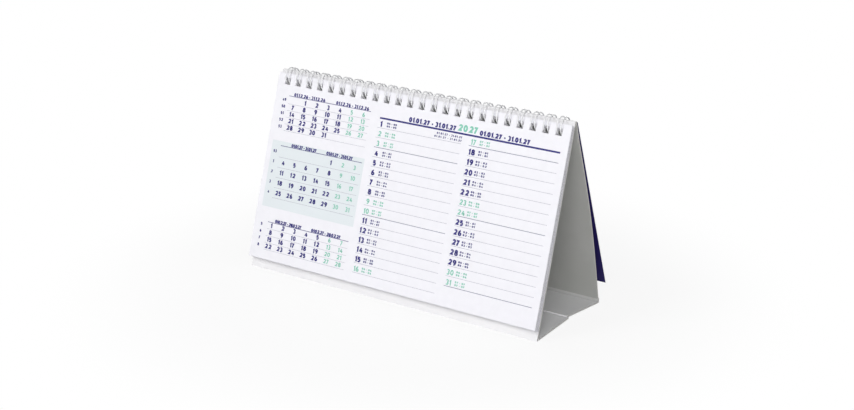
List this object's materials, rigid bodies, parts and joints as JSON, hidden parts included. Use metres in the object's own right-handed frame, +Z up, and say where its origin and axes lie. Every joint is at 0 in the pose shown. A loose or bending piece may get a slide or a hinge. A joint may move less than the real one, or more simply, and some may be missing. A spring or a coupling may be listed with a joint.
{
  "type": "desk calendar",
  "caption": "Desk calendar: a folded board easel stand with a twin-loop wire comb over its ridge, month pages hanging on its front and a dark cover turned to its back.",
  "frame": {"origin": "on the table, under the middle of the object's outline", "axes": "+X to the right along the ridge as the month pages are read, +Y from the pages towards the cover, +Z up"},
  "size_m": [0.21, 0.0822, 0.1225],
  "materials": {
    "stand_board": "smooth white laminate",
    "page_paper": "uncoated, printed on the front",
    "cover_card": "navy, satin",
    "coated_wire": "white nylon coating, glossy"
  },
  "bodies": {
    "stand_front": {"stand_front_panel": "stand_board", "binding_wire": "coated_wire"},
    "stand_back": {"stand_back_panel": "stand_board", "rear_fold_strip": "stand_board"},
    "base_front": {"base_front_flap": "stand_board"},
    "base_rear": {"base_rear_flap": "stand_board"},
    "sheet_01": {"month_sheet_01": "page_paper"},
    "sheet_02": {"month_sheet_02": "page_paper"},
    "sheet_03": {"month_sheet_03": "page_paper"},
    "sheet_04": {"month_sheet_04": "page_paper"},
    "sheet_05": {"month_sheet_05": "page_paper"},
    "sheet_06": {"month_sheet_06": "page_paper"},
    "sheet_07": {"month_sheet_07": "page_paper"},
    "sheet_08": {"month_sheet_08": "page_paper"},
    "sheet_09": {"month_sheet_09": "page_paper"},
    "sheet_10": {"month_sheet_10": "page_paper"},
    "sheet_11": {"month_sheet_11": "page_paper"},
    "sheet_12": {"month_sheet_12": "page_paper"},
    "cover": {"cover_sheet": "cover_card"}
  },
  "joints": [
    {"name": "stand_fold", "type": "hinge", "parent": "stand_front", "child": "stand_back", "pos_m": [0, -0.00249, 0.1194], "axis": [1, 0, 0], "range_deg": [-16.6, 0]},
    {"name": "base_front_fold", "type": "hinge", "parent": "stand_front", "child": "base_front", "pos_m": [0, -0.03661, 0.0005], "axis": [1, 0, 0], "range_deg": [0, 28.45]},
    {"name": "base_rear_fold", "type": "hinge", "parent": "stand_back", "child": "base_rear", "pos_m": [0, 0.03196, 0.0005], "axis": [1, 0, 0], "range_deg": [-60.39, 0]},
    {"name": "cover_swing", "type": "hinge", "parent": "stand_front", "child": "cover", "pos_m": [0, 0.00081, 0.1188], "axis": [1, 0, 0], "range_deg": [0, 32]},
    {"name": "page_turn", "type": "hinge", "parent": "stand_front", "child": "sheet_01", "pos_m": [0, -0.00325, 0.11717], "axis": [1, 0, 0], "range_deg": [-140, 0]},
    {"name": "sheet_02_fan", "type": "hinge", "parent": "stand_front", "child": "sheet_02", "pos_m": [0, -0.00325, 0.11717], "axis": [1, 0, 0], "range_deg": [-60.5, 0]},
    {"name": "sheet_03_fan", "type": "hinge", "parent": "stand_front", "child": "sheet_03", "pos_m": [0, -0.00325, 0.11717], "axis": [1, 0, 0], "range_deg": [-55.1, 0]},
    {"name": "sheet_04_fan", "type": "hinge", "parent": "stand_front", "child": "sheet_04", "pos_m": [0, -0.00325, 0.11717], "axis": [1, 0, 0], "range_deg": [-49.7, 0]},
    {"name": "sheet_05_fan", "type": "hinge", "parent": "stand_front", "child": "sheet_05", "pos_m": [0, -0.00325, 0.11717], "axis": [1, 0, 0], "range_deg": [-44.3, 0]},
    {"name": "sheet_06_fan", "type": "hinge", "parent": "stand_front", "child": "sheet_06", "pos_m": [0, -0.00325, 0.11717], "axis": [1, 0, 0], "range_deg": [-38.9, 0]},
    {"name": "sheet_07_fan", "type": "hinge", "parent": "stand_front", "child": "sheet_07", "pos_m": [0, -0.00325, 0.11717], "axis": [1, 0, 0], "range_deg": [-33.5, 0]},
    {"name": "sheet_08_fan", "type": "hinge", "parent": "stand_front", "child": "sheet_08", "pos_m": [0, -0.00325, 0.11717], "axis": [1, 0, 0], "range_deg": [-28.1, 0]},
    {"name": "sheet_09_fan", "type": "hinge", "parent": "stand_front", "child": "sheet_09", "pos_m": [0, -0.00325, 0.11717], "axis": [1, 0, 0], "range_deg": [-22.7, 0]},
    {"name": "sheet_10_fan", "type": "hinge", "parent": "stand_front", "child": "sheet_10", "pos_m": [0, -0.00325, 0.11717], "axis": [1, 0, 0], "range_deg": [-17.3, 0]},
    {"name": "sheet_11_fan", "type": "hinge", "parent": "stand_front", "child": "sheet_11", "pos_m": [0, -0.00325, 0.11717], "axis": [1, 0, 0], "range_deg": [-11.9, 0]},
    {"name": "sheet_12_fan", "type": "hinge", "parent": "stand_front", "child": "sheet_12", "pos_m": [0, -0.00325, 0.11717], "axis": [1, 0, 0], "range_deg": [-6.5, 0]}
  ],
  "couplings": [
    {"joint": "base_front_fold", "follows": "stand_fold", "ratio": -1.6837},
    {"joint": "base_rear_fold", "follows": "stand_fold", "ratio": 3.6079},
    {"joint": "sheet_02_fan", "follows": "page_turn", "ratio": 0.42857},
    {"joint": "sheet_03_fan", "follows": "page_turn", "ratio": 0.39},
    {"joint": "sheet_04_fan", "follows": "page_turn", "ratio": 0.35143},
    {"joint": "sheet_05_fan", "follows": "page_turn", "ratio": 0.31286},
    {"joint": "sheet_06_fan", "follows": "page_turn", "ratio": 0.27429},
    {"joint": "sheet_07_fan", "follows": "page_turn", "ratio": 0.23571},
    {"joint": "sheet_08_fan", "follows": "page_turn", "ratio": 0.19714},
    {"joint": "sheet_09_fan", "follows": "page_turn", "ratio": 0.15857},
    {"joint": "sheet_10_fan", "follows": "page_turn", "ratio": 0.12},
    {"joint": "sheet_11_fan", "follows": "page_turn", "ratio": 0.08143},
    {"joint": "sheet_12_fan", "follows": "page_turn", "ratio": 0.04286}
  ]
}
